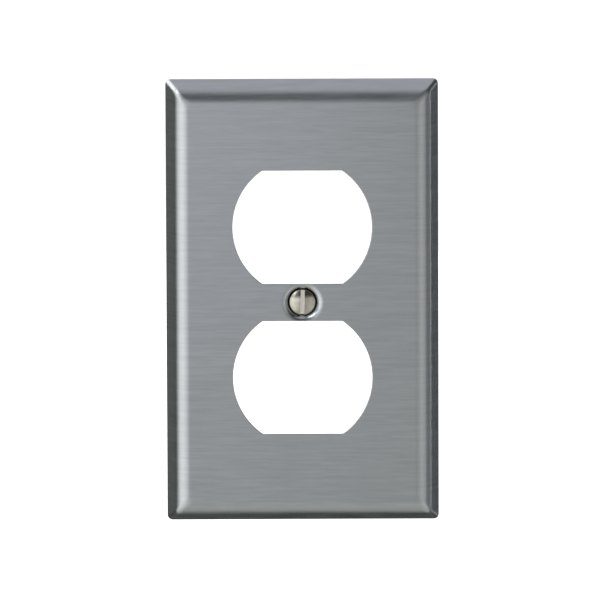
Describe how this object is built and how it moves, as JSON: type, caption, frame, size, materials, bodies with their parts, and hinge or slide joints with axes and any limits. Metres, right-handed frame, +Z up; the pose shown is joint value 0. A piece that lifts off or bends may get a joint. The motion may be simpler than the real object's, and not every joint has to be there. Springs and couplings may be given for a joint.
{
  "type": "duplex receptacle wall plate",
  "caption": "Formed steel cover plate with round flat-sided openings, sloped rim and a captive slotted screw in a centre dimple.",
  "frame": {"origin": "on the screw's axis, in the wall plane that the back rim rests on", "axes": "+X across the width, +Y into the wall (the face looks along -Y), +Z up along the height"},
  "size_m": [0.0698, 0.0139, 0.1142],
  "materials": {
    "brushed_stainless_steel": "brushed along the width",
    "nickel_plated_steel": "satin plated",
    "vulcanised_fibre": "matt punched sheet"
  },
  "bodies": {
    "plate": {"face_plate": "brushed_stainless_steel"},
    "retainer": {"screw_retainer": "vulcanised_fibre"},
    "screw": {"mounting_screw": "nickel_plated_steel"}
  },
  "joints": [
    {"name": "screw_backs_out", "type": "slide", "parent": "plate", "child": "retainer", "axis": [0, -1, 0], "range_m": [0, 0.002]},
    {"name": "screw_turn", "type": "hinge", "parent": "retainer", "child": "screw", "pos_m": [0, 0, 0], "axis": [0, 1, 0], "continuous": true}
  ]
}
